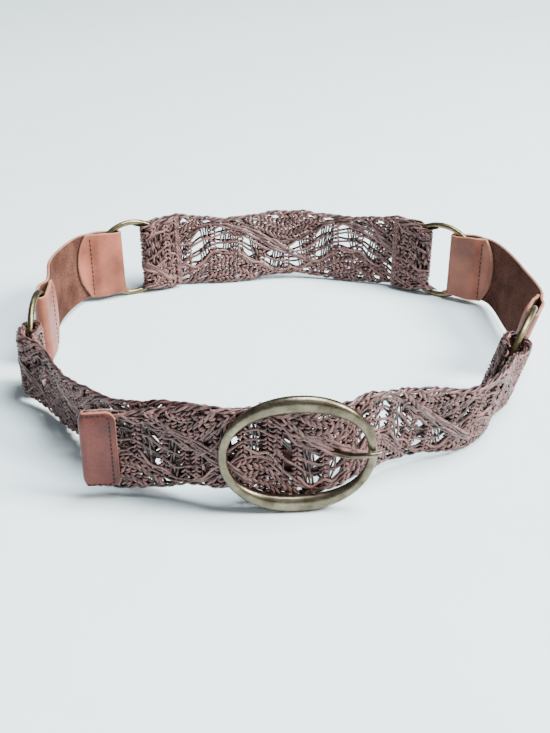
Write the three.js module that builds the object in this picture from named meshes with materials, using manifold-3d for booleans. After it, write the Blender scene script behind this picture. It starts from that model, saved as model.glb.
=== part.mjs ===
// Braided leather belt, fastened and standing on its edge as a loop.
// Millimetres, +Z up. The buckle is at the front, towards -Y.
import * as THREE from 'three';
import { mergeVertices } from 'three/addons/utils/BufferGeometryUtils.js';
import Module from 'manifold-3d';

const wasm = await Module();
wasm.setup();

// The loop in plan, across and front to back, through the middle of the straps.
const loopWidth = 300;
const loopDepth = 270;

// Braided straps.
const braidWidth = 50;
const braidThickness = 3.2;
const backWave = 90;
const frontWave = 70;
const waveHeight = 1.6;
const ladderGapShare = 0.69;

// Smooth leather links.
const linkWidth = 46;
const linkThickness = 2;
const moonReach = 12;

// Round rings.
const ringDiameter = 55;
const ringWire = 3.8;

// How far the two folds in one ring stay apart, at the back rings and at the side rings' straps.
const foldGap = 14;
const sideFoldGap = 24;

// How far past the ring a fold is sewn, and how far its flap goes on past the seam.
const braidSeamReach = 5;
const braidFlapReach = 3;
const linkSeamReach = 4;
const linkFlapReach = 1.5;

// Buckle.
const buckleWidth = 80;
const buckleHeight = 69.5;
const rimSideWidth = 5.6;
const rimTopWidth = 9;
const rimSideDepth = 5.2;
const rimTopDepth = 7;
const barWire = 3.6;
const barSetBack = 12.1;
const barShift = 4.5;
const prongWire = 3;

// How far the strap stands off behind the rim on the right, rises at the rim on the left,
// and sags over the bar.
const rimStandOff = 13;
const rimRise = 2.5;
const strapSag = 1;

// Leather fold round the buckle's bar and leather cap on the tail.
const chapeWidth = 42;
const chapeReach = 24;
const chapeThickness = 1.6;
const capLength = 19;
const capWidth = 46;
const capThickness = 1.4;

// Gaps that neighbouring pieces keep.
const seatGap = 0.35;
const wireClearance = 0.4;

// Rings in travel order round the loop, anticlockwise seen from above.
// x and y are shares of the loop's width and depth; heading and lean in degrees,
// lean outwards at the top.
const ringTable = {
  back_right_ring: { x: 0.388, y: 0.403, heading: 151, lean: 2 },
  back_left_ring: { x: -0.337, y: 0.422, heading: 205, lean: 5 },
  left_ring: { x: -0.483, y: -0.033, heading: 269, lean: 1 },
  right_ring: { x: 0.487, y: -0.091, heading: 67, lean: 16 },
};

// The buckle's place: shares of the loop, heading and lean in degrees.
const bucklePlace = { x: 0.038, y: -0.59, heading: 4, lean: 3 };

// Stations of the straps' middle line between rings. x and y are shares of the loop,
// width a share of braidWidth, lift the height of the lower edge as a share of braidWidth.
const backStations = [
  { x: 0.207, y: 0.493, lean: 3, width: 0.98, lift: 0.05 },
  { x: 0.061, y: 0.522, lean: 3, width: 0.96, lift: 0.06 },
  { x: -0.11, y: 0.493, lean: 4, width: 0.98, lift: 0.05 },
];
const leftLinkStations = [
  { x: -0.487, y: 0.215, lean: 4, width: 1, lift: 0.05 },
];
const rightLinkStations = [
  { x: 0.524, y: 0.167, lean: 8, width: 1, lift: 0.05 },
];
const leftBraidStations = [
  { x: -0.437, y: -0.226, lean: 2, width: 0.82, lift: 0.06 },
  { x: -0.403, y: -0.289, lean: 7, width: 0.82, lift: 0.06 },
  { x: -0.367, y: -0.352, lean: 12, width: 0.84, lift: 0.06 },
  { x: -0.32, y: -0.41, lean: 11, width: 0.88, lift: 0.07 },
  { x: -0.262, y: -0.476, lean: 6, width: 0.92, lift: 0.11 },
];
const tailStations = [
  { x: -0.329, y: -0.545, lean: 4.5, width: 0.93, lift: 0.15 },
  { x: -0.26, y: -0.542, lean: 4, width: 0.95, lift: 0.15 },
  { x: -0.19, y: -0.552, lean: 4, width: 0.97, lift: 0.16 },
];
const rightBraidStations = [
  { x: 0.208, y: -0.468, lean: 11, width: 0.97, lift: 0.18 },
  { x: 0.268, y: -0.432, lean: 14, width: 0.95, lift: 0.1 },
  { x: 0.337, y: -0.402, lean: 15, width: 0.91, lift: 0.07 },
  { x: 0.405, y: -0.33, lean: 14, width: 0.93, lift: 0.07 },
];

// Open rows of the braid in each of the ladders of one wave, counted from the lower edge.
// The closed rows are the dense lenses, which lie along the upper and the lower edge in turn.
const rowHeights = [0.1, 0.1, 0.06, 0.12, 0.06, 0.12, 0.06, 0.12, 0.06, 0.1, 0.1];
const openRows = [[1, 3, 5], [3, 5, 7], [5, 7, 9], [5, 7], [3, 5]];
const middleRow = 5;

// Where the front strap's upper edge crests, as a share of a wave beyond the buckle's bar.
const crestShift = 0.13;

const finishes = {
  braid: { color: 0x6f5450, roughness: 0.7, metalness: 0 },
  link: { color: 0xa8705c, roughness: 0.6, metalness: 0 },
  cap: { color: 0x8c5a54, roughness: 0.6, metalness: 0 },
  brass: { color: 0x7d7052, roughness: 0.35, metalness: 1 },
};

const rimCentreRadius = ringDiameter / 2 - ringWire / 2;
const ringInnerRadius = ringDiameter / 2 - ringWire;
const ringThroat = 2 * ringInnerRadius;

function frameAt(point, heading, lean) {
  const along = new THREE.Vector3(Math.cos(heading), Math.sin(heading), 0);
  const outward = new THREE.Vector3(Math.sin(heading), -Math.cos(heading), 0);
  const rise = new THREE.Vector3(0, 0, 1);
  const up = outward.clone().multiplyScalar(Math.sin(lean)).addScaledVector(rise, Math.cos(lean));
  const face = outward.clone().multiplyScalar(Math.cos(lean)).addScaledVector(rise, -Math.sin(lean));
  return { point, along, up, face, lean };
}

function placeIn(frame, along, up, out) {
  return frame.point.clone()
    .addScaledVector(frame.along, along)
    .addScaledVector(frame.up, up)
    .addScaledVector(frame.face, out);
}

function rowFrame(row, middleHeight) {
  const point = new THREE.Vector3(row.x * loopWidth, row.y * loopDepth, middleHeight);
  return frameAt(point, THREE.MathUtils.degToRad(row.heading), THREE.MathUtils.degToRad(row.lean));
}

// A wire hoop leaning by this much touches the floor at this height of its centre.
function hoopHeight(row, halfHeight, wire) {
  return (halfHeight - wire / 2) * Math.cos(THREE.MathUtils.degToRad(row.lean)) + wire / 2;
}

const rings = {};
for (const [name, row] of Object.entries(ringTable)) {
  rings[name] = rowFrame(row, hoopHeight(row, ringDiameter / 2, ringWire));
}
const buckle = rowFrame(bucklePlace, hoopHeight(bucklePlace, buckleHeight / 2, rimTopDepth));

// Stations on a straight stretch through a ring, so that both folds lie in the ring's plane.
// The strap narrows towards its fold, and drop is how far its middle sits below the ring's.
const straightReaches = [0, 12, 24, 36];

function ringStations(name, side, fold) {
  return straightReaches.map((reach, i) => ({
    point: placeIn(rings[name], side * reach, i < 2 ? -fold.drop : -fold.seamDrop, 0),
    lean: rings[name].lean,
    width: i < 2 ? fold.width : fold.seamWidth,
  }));
}

function strapStations(rows) {
  return rows.map((row) => {
    const lean = THREE.MathUtils.degToRad(row.lean);
    const width = row.width * braidWidth;
    const height = width / 2 * Math.cos(lean) + row.lift * braidWidth;
    const point = new THREE.Vector3(row.x * loopWidth, row.y * loopDepth, height);
    return { point, lean, width };
  });
}

function buckleStation(along, up, out, width) {
  return { point: placeIn(buckle, along, up, out), lean: buckle.lean, width };
}

// A strap's middle line, sampled finely, with its lean and width at each distance along it.
const samplesPerStation = 24;

function strapRun(stations) {
  const curve = new THREE.CatmullRomCurve3(stations.map((station) => station.point), false, 'centripetal');
  const steps = (stations.length - 1) * samplesPerStation;
  const samples = [];
  for (let i = 0; i <= steps; i += 1) {
    const index = Math.min(Math.floor(i / samplesPerStation), stations.length - 2);
    const share = THREE.MathUtils.smoothstep(i / samplesPerStation - index, 0, 1);
    const point = curve.getPoint(i / steps);
    const last = samples[i - 1];
    samples.push({
      point,
      distance: last ? last.distance + last.point.distanceTo(point) : 0,
      lean: THREE.MathUtils.lerp(stations[index].lean, stations[index + 1].lean, share),
      width: THREE.MathUtils.lerp(stations[index].width, stations[index + 1].width, share),
    });
  }
  const length = samples[steps].distance;
  const at = (distance) => {
    let i = 1;
    while (i < steps && samples[i].distance < distance) i += 1;
    const from = samples[i - 1];
    const to = samples[i];
    const share = (distance - from.distance) / (to.distance - from.distance);
    const point = from.point.clone().lerp(to.point, share);
    const before = samples[Math.max(i - 2, 0)].point;
    const after = samples[Math.min(i + 1, steps)].point;
    const heading = Math.atan2(after.y - before.y, after.x - before.x);
    const lean = THREE.MathUtils.lerp(from.lean, to.lean, share);
    return { ...frameAt(point, heading, lean), width: THREE.MathUtils.lerp(from.width, to.width, share) };
  };
  const nearest = (point) => samples.reduce((best, sample) => (
    sample.point.distanceTo(point) < best.point.distanceTo(point) ? sample : best)).distance;
  return { length, at, nearest };
}

// A bent wall seen in plan: columns at (distance, out) along the run, with the wall's normal there.
function withNormals(columns) {
  return columns.map((column, i) => {
    const before = columns[Math.max(i - 1, 0)];
    const after = columns[Math.min(i + 1, columns.length - 1)];
    const alongStep = after.distance - before.distance;
    const outStep = after.out - before.out;
    const size = Math.hypot(alongStep, outStep);
    return { ...column, normalAlong: -outStep / size, normalOut: alongStep / size };
  });
}

// The fold round a ring's wire, measured from the ring's centre: the inner leaf from its tip,
// the turn round the wire, and the outer leaf back to the seam.
const turnAngles = [-90, -45, 0, 45, 90];

// The inner face of a fold keeps clear of the wire, which curves across the strap.
function wireReach(fold, share) {
  const height = share * fold.width - fold.drop;
  const besideWire = Math.sqrt((ringInnerRadius - wireClearance) ** 2 - height ** 2);
  return Math.min(besideWire, fold.gap / 2 + fold.thickness);
}

function foldColumns(fold) {
  const { thickness, seamReach, tipReach } = fold;
  const pocket = ringWire / 2 + wireClearance + fold.slack;
  const middle = pocket + thickness / 2;
  const turnCentre = wireReach(fold, 0) + pocket;
  const leaf = thickness + seatGap;
  const columns = [
    { distance: tipReach, out: -leaf, moon: fold.moon },
    { distance: (tipReach + seamReach) / 2, out: -leaf, moon: fold.moon / 2 },
    { distance: seamReach, out: -leaf },
    { distance: rimCentreRadius, out: -middle },
  ];
  for (const angle of turnAngles) {
    const turn = THREE.MathUtils.degToRad(angle);
    columns.push({
      distance: turnCentre - middle * Math.cos(turn),
      out: middle * Math.sin(turn),
      fold,
    });
  }
  columns.push({ distance: rimCentreRadius, out: middle });
  columns.push({ distance: seamReach, out: 0 });
  return columns;
}

// A closed wall from columns and rows: outer and inner skin over every closed cell, and an
// edge wherever a closed cell meets an open one or the outside.
function wallGeometry(run, columns, rowShares, thickness, isOpen, edgeShift) {
  const positions = [];
  const rowCount = rowShares.length;
  for (const column of columns) {
    const side = column.side ?? 0;
    for (const share of rowShares) {
      const bulge = (column.moon ?? 0) * (1 - (2 * share) ** 2) * side;
      const frame = run.at(column.distance + bulge);
      const width = column.width ?? frame.width;
      const pull = column.fold ? wireReach(column.fold, share) - wireReach(column.fold, 0) : 0;
      const shift = edgeShift && !column.side ? edgeShift(column) * Math.abs(2 * share) : 0;
      const up = share * width + shift;
      for (const half of [thickness / 2, -thickness / 2]) {
        const point = placeIn(
          frame,
          pull * side + column.normalAlong * half,
          up,
          column.out + column.normalOut * half,
        );
        positions.push(point.x, point.y, point.z);
      }
    }
  }
  const vertex = (i, j, side) => 2 * (i * rowCount + j) + side;
  const closed = (i, j) => i >= 0 && j >= 0 && i < columns.length - 1 && j < rowCount - 1 && !isOpen(i, j);
  const indices = [];
  const quad = (a, b, c, d) => indices.push(a, b, c, a, c, d);
  for (let i = 0; i < columns.length - 1; i += 1) {
    for (let j = 0; j < rowCount - 1; j += 1) {
      if (!closed(i, j)) continue;
      quad(vertex(i, j, 0), vertex(i + 1, j, 0), vertex(i + 1, j + 1, 0), vertex(i, j + 1, 0));
      quad(vertex(i, j, 1), vertex(i, j + 1, 1), vertex(i + 1, j + 1, 1), vertex(i + 1, j, 1));
      if (!closed(i, j - 1)) quad(vertex(i, j, 0), vertex(i, j, 1), vertex(i + 1, j, 1), vertex(i + 1, j, 0));
      if (!closed(i, j + 1)) {
        quad(vertex(i, j + 1, 0), vertex(i + 1, j + 1, 0), vertex(i + 1, j + 1, 1), vertex(i, j + 1, 1));
      }
      if (!closed(i - 1, j)) quad(vertex(i, j, 0), vertex(i, j + 1, 0), vertex(i, j + 1, 1), vertex(i, j, 1));
      if (!closed(i + 1, j)) {
        quad(vertex(i + 1, j, 0), vertex(i + 1, j, 1), vertex(i + 1, j + 1, 1), vertex(i + 1, j + 1, 0));
      }
    }
  }
  const geometry = new THREE.BufferGeometry();
  geometry.setAttribute('position', new THREE.Float32BufferAttribute(positions, 3));
  geometry.setIndex(indices);
  return geometry;
}

// A skin through loops of points: a closed chain of loops, or one with flat ends.
function loftGeometry(loops, isRing) {
  const sides = loops[0].length;
  const positions = loops.flat().flatMap((point) => [point.x, point.y, point.z]);
  const indices = [];
  const spans = isRing ? loops.length : loops.length - 1;
  for (let i = 0; i < spans; i += 1) {
    const next = (i + 1) % loops.length;
    for (let j = 0; j < sides; j += 1) {
      const k = (j + 1) % sides;
      indices.push(i * sides + j, next * sides + j, next * sides + k);
      indices.push(i * sides + j, next * sides + k, i * sides + k);
    }
  }
  if (!isRing) {
    const last = (loops.length - 1) * sides;
    for (let j = 1; j < sides - 1; j += 1) {
      indices.push(0, j, j + 1);
      indices.push(last, last + j + 1, last + j);
    }
  }
  const geometry = new THREE.BufferGeometry();
  geometry.setAttribute('position', new THREE.Float32BufferAttribute(positions, 3));
  geometry.setIndex(indices);
  return geometry;
}

function toManifold(geometry) {
  const plain = geometry.clone();
  plain.deleteAttribute('normal');
  plain.deleteAttribute('uv');
  const merged = mergeVertices(plain, 1e-4);
  return new wasm.Manifold(new wasm.Mesh({
    numProp: 3,
    vertProperties: new Float32Array(merged.attributes.position.array),
    triVerts: new Uint32Array(merged.index.array),
  }));
}

function fromManifold(solid) {
  const mesh = solid.getMesh();
  const geometry = new THREE.BufferGeometry();
  geometry.setAttribute('position', new THREE.BufferAttribute(mesh.vertProperties, 3));
  geometry.setIndex(new THREE.BufferAttribute(mesh.triVerts, 1));
  return geometry;
}

const belt = new THREE.Group();
belt.name = 'braided_belt';

function addPiece(name, geometry, finish) {
  geometry.computeVertexNormals();
  const mesh = new THREE.Mesh(geometry, new THREE.MeshStandardMaterial(finishes[finish]));
  mesh.name = name;
  belt.add(mesh);
}

const braidRows = [-0.5];
for (const height of rowHeights) {
  braidRows.push(braidRows[braidRows.length - 1] + height);
}

// Columns of a braided stretch, in ladders counted from a distance on the run.
function ladderColumns(from, to, origin, wave) {
  const pitch = wave / openRows.length;
  const gap = ladderGapShare * pitch;
  const shortest = pitch - gap;
  const columns = [];
  for (let ladder = Math.ceil((from - origin) / pitch) - 1; ; ladder += 1) {
    const start = origin + ladder * pitch;
    if (start > to) break;
    for (const [distance, open] of [[start, false], [start + shortest, true]]) {
      const inside = distance > from + shortest && distance < to - shortest;
      if (inside) columns.push({ distance, out: 0, ladder, open });
    }
  }
  return columns;
}

function braidOpen(columns, prongLadders) {
  const waveLadders = openRows.length;
  return (i, j) => {
    const { ladder, open } = columns[i];
    if (ladder === undefined || columns[i + 1].ladder === undefined) return false;
    if (j === middleRow && prongLadders.includes(ladder) && (open || ladder > prongLadders[0])) return true;
    return open && openRows[((ladder % waveLadders) + waveLadders) % waveLadders].includes(j);
  };
}

function braidEdge(origin, wave) {
  return (column) => waveHeight * Math.cos(2 * Math.PI * (column.distance - origin) / wave);
}

const backFold = {
  thickness: braidThickness,
  width: 0.95 * ringThroat,
  seamWidth: 1.02 * braidWidth,
  drop: 0,
  seamDrop: 0.01 * braidWidth,
  slack: 0,
  gap: foldGap,
  seamReach: ringDiameter / 2 + braidSeamReach,
  tipReach: ringDiameter / 2 + braidSeamReach + braidFlapReach,
  moon: 0,
};
const leftFold = {
  ...backFold,
  width: 0.81 * ringThroat,
  seamWidth: 0.82 * braidWidth,
  drop: 0.074 * ringThroat,
  seamDrop: 0.08 * braidWidth,
  slack: 0.02 * braidWidth,
  gap: sideFoldGap,
};
const rightFold = {
  ...leftFold,
  drop: 0.063 * ringThroat,
  slack: 0.07 * braidWidth,
};
const linkFold = {
  thickness: linkThickness,
  width: 0.922 * ringThroat,
  seamWidth: linkWidth,
  drop: 0.02 * linkWidth,
  seamDrop: 0.02 * linkWidth,
  slack: 0,
  gap: foldGap,
  seamReach: ringDiameter / 2 + linkSeamReach,
  tipReach: ringDiameter / 2 + linkSeamReach + linkFlapReach,
  moon: moonReach,
};

// A fold at the start of a run, and the same one turned round for its end.
function foldAtStart(fold) {
  return foldColumns(fold).map((column) => ({ ...column, side: 1 }));
}

function foldAtEnd(fold, length) {
  return foldColumns(fold).reverse().map((column) => ({
    ...column,
    distance: length - column.distance,
    side: -1,
  }));
}

function addBraid(name, run, start, middle, end, edge, prongLadders) {
  const columns = withNormals([...start, ...middle, ...end]);
  const geometry = wallGeometry(
    run,
    columns,
    braidRows,
    braidThickness,
    braidOpen(columns, prongLadders),
    edge,
  );
  addPiece(name, geometry, 'braid');
}

// Back strap, folded round a ring at both ends.
function addBackBraid() {
  const run = strapRun([
    ...ringStations('back_right_ring', 1, backFold),
    ...strapStations(backStations),
    ...ringStations('back_left_ring', -1, backFold).reverse(),
  ]);
  const start = foldAtStart(backFold);
  const end = foldAtEnd(backFold, run.length);
  const origin = run.length / 2;
  const middle = ladderColumns(backFold.seamReach, run.length - backFold.seamReach, origin, backWave);
  addBraid('back_braid', run, start, middle, end, braidEdge(origin, backWave), []);
}

// Distances out from the buckle's middle plane.
const tailBehindRim = -(rimSideDepth / 2 + 2 * seatGap + braidThickness / 2);
const eyeWire = prongWire * 0.8;
const eyeRadius = barWire / 2 + wireClearance + eyeWire / 2;
const tailOverBar = -barSetBack + eyeRadius + eyeWire / 2 + seatGap + braidThickness / 2;
const strapBehindTail = tailBehindRim - braidThickness - seatGap;
const rimReach = buckleWidth / 2 - rimSideWidth / 2;

// Strap with the free end: from the right ring under the rim, over the bar, under the rim again
// and on to the capped tail.
function addRightBraid() {
  const run = strapRun([
    ...strapStations(tailStations),
    buckleStation(-rimReach, rimRise, tailBehindRim, braidWidth * 0.97),
    buckleStation(-rimReach / 2, 0, tailOverBar, braidWidth),
    buckleStation(barShift, -strapSag, tailOverBar, braidWidth * 1.04),
    buckleStation(rimReach / 2, -strapSag, tailOverBar - rimStandOff / 4, braidWidth),
    buckleStation(rimReach, rimRise / 2, tailBehindRim - rimStandOff, braidWidth * 0.95),
    ...strapStations(rightBraidStations),
    ...ringStations('right_ring', -1, rightFold).reverse(),
  ]);
  const atBar = run.nearest(placeIn(buckle, barShift, 0, tailOverBar));
  const tailEnd = capThickness + seatGap;
  const start = [{ distance: tailEnd, out: 0 }, { distance: capLength * 0.8, out: 0 }];
  const end = foldAtEnd(rightFold, run.length);
  const crest = atBar + frontWave * crestShift;
  const middle = ladderColumns(capLength, run.length - rightFold.seamReach, atBar + 2, frontWave);
  addBraid('right_braid', run, start, middle, end, braidEdge(crest, frontWave), [0, 1]);
  addCap(run);
}

// Strap with the buckle: from the left ring behind the tail to the fold round the bar.
function addLeftBraid() {
  const run = strapRun([
    ...ringStations('left_ring', 1, leftFold),
    ...strapStations(leftBraidStations),
    buckleStation(-rimReach, rimRise, strapBehindTail, braidWidth * 0.92),
    buckleStation(-rimReach / 2, rimRise / 2, -barSetBack, braidWidth * 0.85),
    buckleStation(barShift, 0, -barSetBack, braidWidth * 0.85),
  ]);
  const start = foldAtStart(leftFold);
  const last = run.length - eyeRadius - eyeWire / 2 - 2 * seatGap;
  const inChape = run.length - chapeReach;
  const end = [{ distance: inChape, out: 0 }, { distance: last, out: 0 }];
  const middle = ladderColumns(leftFold.seamReach, inChape, run.length, frontWave);
  addBraid('left_braid', run, start, middle, end, braidEdge(run.length, frontWave), []);
  addChape(run);
}

// A leather sleeve: two leaves joined by a turn, over what lies between them.
function sleeveColumns(turnCentre, middle, reach, direction) {
  const columns = [{ distance: turnCentre + direction * reach, out: -middle }];
  for (const angle of turnAngles) {
    const turn = THREE.MathUtils.degToRad(angle);
    columns.push({
      distance: turnCentre - direction * middle * Math.cos(turn),
      out: middle * Math.sin(turn),
    });
  }
  columns.push({ distance: turnCentre + direction * reach, out: middle });
  return direction > 0 ? columns : columns.reverse();
}

function addCap(run) {
  const middle = braidThickness / 2 + 2 * seatGap + capThickness / 2;
  const columns = sleeveColumns(middle, middle, capLength - middle, 1);
  const sized = withNormals(columns.map((column) => ({ ...column, width: capWidth })));
  const geometry = wallGeometry(run, sized, [-0.5, 0, 0.5], capThickness, () => false);
  addPiece('tail_tip', geometry, 'cap');
}

const slotHeight = prongWire * 2.2;

function addChape(run) {
  const middle = barWire / 2 + wireClearance + chapeThickness / 2;
  const columns = sleeveColumns(run.length, middle, chapeReach - 1, -1);
  const slotEnd = run.length - eyeRadius - eyeWire / 2 - 2 * seatGap;
  columns.splice(1, 0, { distance: slotEnd, out: middle });
  columns.splice(-1, 0, { distance: slotEnd, out: -middle });
  const sized = withNormals(columns.map((column) => ({ ...column, width: chapeWidth })));
  const half = slotHeight / chapeWidth / 2;
  const rows = [-0.5, -half, half, 0.5];
  const inSlot = (i, j) => j === 1 && i > 0 && i < sized.length - 2;
  const geometry = wallGeometry(run, sized, rows, chapeThickness, inSlot);
  addPiece('buckle_chape', geometry, 'link');
}

function addLink(name, startRing, stations, endRing) {
  const run = strapRun([
    ...ringStations(startRing, 1, linkFold),
    ...strapStations(stations).map((station) => ({ ...station, width: linkWidth })),
    ...ringStations(endRing, -1, linkFold).reverse(),
  ]);
  const start = foldAtStart(linkFold);
  const end = foldAtEnd(linkFold, run.length);
  const from = linkFold.seamReach;
  const stretch = run.length - 2 * from;
  const steps = 10;
  const middle = [];
  for (let i = 1; i < steps; i += 1) {
    middle.push({ distance: from + stretch * i / steps, out: 0 });
  }
  const columns = withNormals([...start, ...middle, ...end]);
  const rows = [-0.5, -0.43, -0.26, 0, 0.26, 0.43, 0.5];
  addPiece(name, wallGeometry(run, columns, rows, linkThickness, () => false), 'link');
}

const ringSegments = 24;
const wireSides = 8;

function addRing(name) {
  const loops = [];
  for (let i = 0; i < ringSegments; i += 1) {
    const turn = (i + 0.5) / ringSegments * 2 * Math.PI;
    const loop = [];
    for (let j = 0; j < wireSides; j += 1) {
      const round = (j + 0.5) / wireSides * 2 * Math.PI;
      const radius = rimCentreRadius + ringWire / 2 * Math.cos(round);
      loop.push(placeIn(
        rings[name],
        radius * Math.cos(turn),
        radius * Math.sin(turn),
        ringWire / 2 * Math.sin(round),
      ));
    }
    loops.push(loop);
  }
  addPiece(name, loftGeometry(loops, true), 'brass');
}

// Oval rim, a little fuller than an ellipse, thickest at the top and the bottom.
const rimFullness = 2.15;
const rimSegments = 48;
const rimSides = 10;

function rimLoop(turn) {
  const power = 2 / rimFullness;
  const bend = (value) => Math.sign(value) * Math.abs(value) ** power;
  const swell = Math.abs(Math.sin(turn)) ** 3;
  const halfWidth = THREE.MathUtils.lerp(rimSideWidth, rimTopWidth, swell) / 2;
  const halfDepth = THREE.MathUtils.lerp(rimSideDepth, rimTopDepth, swell) / 2;
  const across = (buckleWidth - rimSideWidth) / 2;
  const high = (buckleHeight - rimTopWidth) / 2;
  const centre = new THREE.Vector2(across * bend(Math.cos(turn)), high * bend(Math.sin(turn)));
  const normal = new THREE.Vector2(
    Math.sign(centre.x) * Math.abs(centre.x / across) ** (rimFullness - 1) / across,
    Math.sign(centre.y) * Math.abs(centre.y / high) ** (rimFullness - 1) / high,
  ).normalize();
  const loop = [];
  for (let j = 0; j < rimSides; j += 1) {
    const round = (j + 0.5) / rimSides * 2 * Math.PI;
    const reach = halfWidth * Math.cos(round);
    loop.push(placeIn(
      buckle,
      centre.x + normal.x * reach,
      centre.y + normal.y * reach,
      halfDepth * Math.sin(round),
    ));
  }
  return loop;
}

// A round wire through points given as (along, up, out) in the buckle's own frame.
function wireGeometry(points, wires, sides) {
  const curve = new THREE.CatmullRomCurve3(points.map((point) => new THREE.Vector3(...point)), false, 'centripetal');
  const steps = 3 * (points.length - 1);
  const loops = [];
  for (let i = 0; i <= steps; i += 1) {
    const centre = curve.getPoint(i / steps);
    const tangent = curve.getTangent(i / steps);
    const helper = Math.abs(tangent.y) > 0.7 ? new THREE.Vector3(1, 0, 0) : new THREE.Vector3(0, 1, 0);
    const first = helper.cross(tangent).normalize();
    const second = first.clone().cross(tangent);
    const share = i / steps * (wires.length - 1);
    const low = Math.min(Math.floor(share), wires.length - 2);
    const radius = THREE.MathUtils.lerp(wires[low], wires[low + 1], share - low) / 2;
    const loop = [];
    for (let j = 0; j < sides; j += 1) {
      const round = j / sides * 2 * Math.PI;
      const point = centre.clone()
        .addScaledVector(first, radius * Math.cos(round))
        .addScaledVector(second, radius * Math.sin(round));
      loop.push(placeIn(buckle, point.x, point.y, point.z));
    }
    loops.push(loop);
  }
  return loftGeometry(loops, false);
}

function addBuckle() {
  const loops = [];
  for (let i = 0; i < rimSegments; i += 1) {
    loops.push(rimLoop((i + 0.5) / rimSegments * 2 * Math.PI));
  }
  const rim = toManifold(loftGeometry(loops, true));
  const rimInside = buckleHeight / 2 - rimTopWidth;
  const legTop = rimInside + rimTopWidth / 2;
  const straight = chapeWidth / 2 + 0.5;
  const kneeHeight = straight + 2.2;
  const barPoints = [
    [barShift, legTop, -rimTopDepth * 0.3],
    [barShift, legTop - 0.5, -rimTopDepth * 0.9],
    [barShift, kneeHeight, -barSetBack],
    [barShift, straight, -barSetBack],
    [barShift, 0, -barSetBack],
    [barShift, -straight, -barSetBack],
    [barShift, -kneeHeight, -barSetBack],
    [barShift, 0.5 - legTop, -rimTopDepth * 0.9],
    [barShift, -legTop, -rimTopDepth * 0.3],
  ];
  const bar = toManifold(wireGeometry(barPoints, [barWire, barWire], 8));
  addPiece('buckle_frame', fromManifold(rim.add(bar)), 'brass');
}

// Prong: an eye round the bar and a shaft that comes through the strap and lies on the rim.
function addProng() {
  const loops = [];
  const segments = 14;
  for (let i = 0; i < segments; i += 1) {
    const turn = i / segments * 2 * Math.PI;
    const loop = [];
    for (let j = 0; j < 6; j += 1) {
      const round = j / 6 * 2 * Math.PI;
      const radius = eyeRadius + eyeWire / 2 * Math.cos(round);
      loop.push(placeIn(
        buckle,
        barShift + radius * Math.cos(turn),
        eyeWire / 2 * Math.sin(round),
        -barSetBack - radius * Math.sin(turn),
      ));
    }
    loops.push(loop);
  }
  const eye = toManifold(loftGeometry(loops, true));
  const overRim = rimSideDepth / 2 + seatGap + prongWire / 2;
  const span = rimReach - barShift;
  const points = [
    [barShift + eyeRadius, 0, -barSetBack],
    [barShift + eyeRadius + 4, 0, -barSetBack + 1],
    [barShift + 0.4 * span, 0, tailOverBar - 1.5],
    [barShift + 0.61 * span, 0, overRim - 2.4],
    [rimReach - 4, 0, overRim + 0.3],
    [rimReach + 1, 0, overRim + 0.1],
    [rimReach + rimSideWidth / 2 + 1.6, 0, overRim - 1.2],
  ];
  const wires = [prongWire, prongWire, prongWire, prongWire * 0.9, prongWire * 0.6];
  const shaft = toManifold(wireGeometry(points, wires, 8));
  addPiece('buckle_prong', fromManifold(shaft.add(eye)), 'brass');
}

addBackBraid();
addLeftBraid();
addRightBraid();
addLink('left_link', 'back_left_ring', leftLinkStations, 'left_ring');
addLink('right_link', 'right_ring', rightLinkStations, 'back_right_ring');
for (const name of Object.keys(rings)) {
  addRing(name);
}
addBuckle();
addProng();

// The frame's origin is under the middle of the whole belt, on the surface that it stands on.
const box = new THREE.Box3().setFromObject(belt);
belt.position.set(-(box.min.x + box.max.x) / 2, -(box.min.y + box.max.y) / 2, -box.min.z);

export default belt;
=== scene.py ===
import math

import bpy
import numpy as np
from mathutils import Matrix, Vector


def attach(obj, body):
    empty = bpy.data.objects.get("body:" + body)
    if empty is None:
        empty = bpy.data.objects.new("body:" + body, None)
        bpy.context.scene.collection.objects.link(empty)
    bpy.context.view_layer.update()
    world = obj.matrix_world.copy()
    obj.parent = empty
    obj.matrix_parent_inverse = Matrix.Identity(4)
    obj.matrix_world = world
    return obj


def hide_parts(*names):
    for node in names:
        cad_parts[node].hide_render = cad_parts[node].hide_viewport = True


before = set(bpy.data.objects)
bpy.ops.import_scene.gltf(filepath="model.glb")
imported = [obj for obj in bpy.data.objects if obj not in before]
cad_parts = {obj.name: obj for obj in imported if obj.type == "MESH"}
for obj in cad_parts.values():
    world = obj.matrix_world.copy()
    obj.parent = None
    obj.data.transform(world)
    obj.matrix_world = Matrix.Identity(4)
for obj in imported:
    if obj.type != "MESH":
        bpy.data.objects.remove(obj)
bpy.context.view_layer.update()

# Lengths in millimetres. The loop stands on its edge and the buckle is towards -Y.
# The plan is drawn round its own centre, and this moves it onto the frame.
frameShift = np.array([-7.6384, 10.744, -0.2372])
loop = {"width": 300, "depth": 270}
braid = {
    "width": 50, "thickness": 3.2, "waveHeight": 1.6, "backWave": 90, "frontWave": 70,
    "calmEnd": 26, "calmFade": 8,
}
link = {"width": 46, "thickness": 2, "moonReach": 12}
ring = {"diameter": 55, "wire": 3.8, "foldGap": 14, "sideFoldGap": 24}
buckle = {
    "width": 80, "height": 69.5, "sideWidth": 4.8, "topWidth": 9.4, "sideDepth": 4.8, "topDepth": 7,
    "fullness": 2.15, "barWire": 3.6, "barSetBack": 12.1, "barShift": 4.5, "prongWire": 3,
    "standOff": 13, "rise": 2.5, "sag": 5,
}
chape = {"width": 42, "reach": 24, "thickness": 1.6}
cap = {"length": 19, "width": 46, "thickness": 1.4, "corner": 5}
seatGap = 0.35
wireClearance = 0.4

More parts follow.
